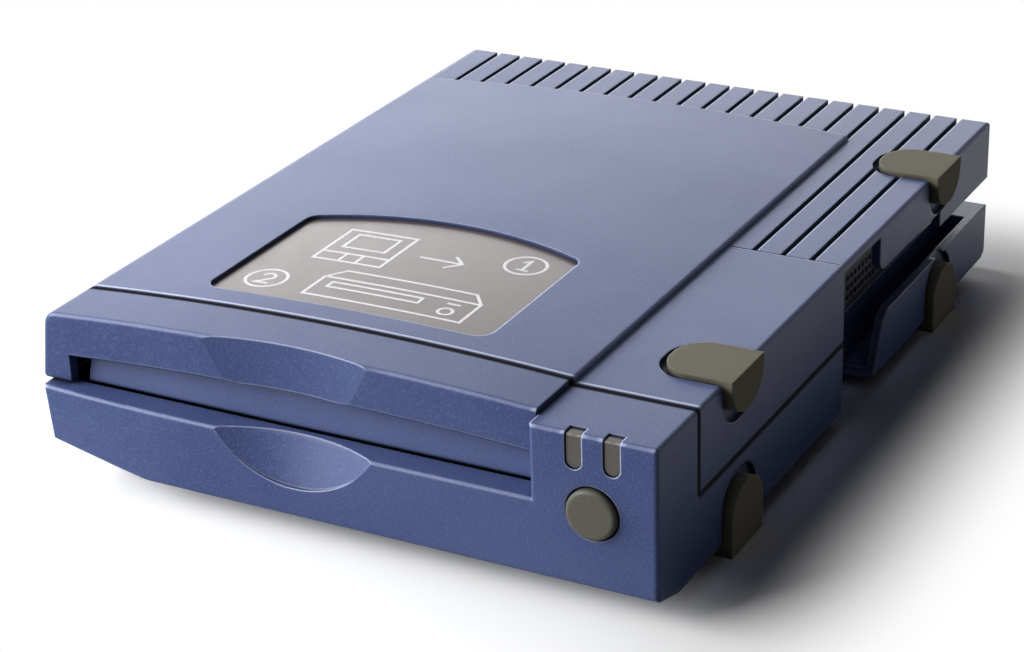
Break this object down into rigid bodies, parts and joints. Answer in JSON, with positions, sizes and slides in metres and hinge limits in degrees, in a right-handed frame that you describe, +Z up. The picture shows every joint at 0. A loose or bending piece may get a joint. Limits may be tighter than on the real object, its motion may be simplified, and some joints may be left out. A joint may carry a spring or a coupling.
{
  "type": "removable disk drive",
  "caption": "Flat desktop drive with a front slot behind a dust door, eject button, ribbed rear deck, window in the lid, side pads and a sliding disk tray with a lifting motor.",
  "frame": {"origin": "centre of the outer box in plan, on the plane that the feet rest on", "axes": "+Z up, +Y from the slotted front to the rear ports, +X to the side with the pads"},
  "size_m": [0.1407, 0.1832, 0.039],
  "materials": {
    "case_plastic": "moulded ABS, fine spark-eroded texture, dark violet blue",
    "door_plastic": "moulded ABS, dark blue",
    "smoked_window": "smoked acrylic, satin",
    "clear_pipe": "clear polycarbonate, unlit grey",
    "button_plastic": "moulded ABS, warm dark grey",
    "pad_rubber": "moulded elastomer, warm dark grey",
    "grille_black": "pierced sheet, dark paint",
    "black_plastic": "moulded, black",
    "tray_plastic": "moulded acetal, dark grey",
    "carriage_resin": "glass-filled resin, grey",
    "circuit_resin": "glass-epoxy board, green solder mask",
    "chip_resin": "moulded epoxy, black",
    "lamp_lens": "tinted epoxy lens",
    "flex_film": "polyimide film, amber",
    "sheet_steel": "zinc-plated folded sheet",
    "rotor_steel": "turned and ground steel",
    "spring_steel": "drawn wire",
    "port_metal": "nickel-plated shell",
    "magnet_grey": "nickel-plated magnet",
    "copper_coil": "enamelled copper winding"
  },
  "bodies": {
    "housing": {"bottom_shell": "case_plastic", "top_shell": "case_plastic", "front_lip": "case_plastic", "window_panel": "smoked_window", "light_pipe_left": "clear_pipe", "light_pipe_right": "clear_pipe", "panel_board": "circuit_resin", "status_leds": "lamp_lens", "button_switch": "black_plastic", "button_spring": "spring_steel", "door_spring": "spring_steel", "chassis_frame": "sheet_steel", "top_plate": "sheet_steel", "magnet_yokes": "sheet_steel", "drive_magnets": "magnet_grey", "carriage_rods": "rotor_steel", "head_flex": "flex_film", "solenoid": "black_plastic", "latch_pin": "rotor_steel", "circuit_board": "circuit_resin", "board_chips": "chip_resin", "data_port_left": "port_metal", "data_port_right": "port_metal", "jack_screws": "rotor_steel", "power_jack": "black_plastic", "rear_panel": "sheet_steel", "side_grille": "grille_black", "upper_pad_front": "pad_rubber", "upper_pad_rear": "pad_rubber", "lower_pad_front": "pad_rubber", "lower_pad_rear": "pad_rubber", "left_foot_front": "pad_rubber", "left_foot_rear": "pad_rubber", "case_screws": "rotor_steel", "chassis_screws": "rotor_steel"},
    "button": {"eject_button": "button_plastic"},
    "door": {"disk_door": "door_plastic"},
    "tray": {"disk_tray": "tray_plastic"},
    "motor": {"motor_plate": "sheet_steel", "motor_coils": "copper_coil"},
    "rotor": {"spindle_rotor": "rotor_steel"},
    "carriage": {"head_carriage": "carriage_resin", "arm_spacer": "carriage_resin", "lower_head_arm": "rotor_steel", "upper_head_arm": "rotor_steel", "voice_coils": "copper_coil"},
    "plunger": {"solenoid_plunger": "rotor_steel"},
    "latch": {"latch_lever": "sheet_steel"}
  },
  "joints": [
    {"name": "button_push", "type": "slide", "parent": "housing", "child": "button", "axis": [0, 1, 0], "range_m": [0, 0.002], "stiffness_N_per_m": 250, "springref_m": -0.002, "deforming": ["button_spring"]},
    {"name": "door_swing", "type": "hinge", "parent": "housing", "child": "door", "pos_m": [-0.0104, -0.0802, 0.0314], "axis": [1, 0, 0], "range_deg": [0, 100], "stiffness_Nm_per_rad": 0.001, "springref_deg": -28.65, "deforming": ["door_spring"]},
    {"name": "tray_slide", "type": "slide", "parent": "housing", "child": "tray", "axis": [0, 1, 0], "range_m": [0, 0.0095], "stiffness_N_per_m": 60, "springref_m": -0.02},
    {"name": "motor_lift", "type": "slide", "parent": "tray", "child": "motor", "axis": [0, 0, 1], "range_m": [0, 0.00241]},
    {"name": "rotor_spin", "type": "hinge", "parent": "motor", "child": "rotor", "pos_m": [-0.0084, -0.0464, 0.0135], "axis": [0, 0, 1], "continuous": true},
    {"name": "carriage_slide", "type": "slide", "parent": "housing", "child": "carriage", "axis": [0, -1, 0], "range_m": [0, 0.027], "deforming": ["head_flex"]},
    {"name": "plunger_pull", "type": "slide", "parent": "housing", "child": "plunger", "axis": [0, 1, 0], "range_m": [0, 0.003], "stiffness_N_per_m": 80, "springref_m": -0.004},
    {"name": "latch_turn", "type": "hinge", "parent": "housing", "child": "latch", "pos_m": [0.0206, 0.0216, 0.0143], "axis": [0, 0, 1], "range_deg": [0, 16.42]}
  ],
  "couplings": [
    {"joint": "motor_lift", "follows": "tray_slide", "ratio": 0.25263},
    {"joint": "latch_turn", "follows": "plunger_pull", "rad_per_m": 95.238}
  ]
}
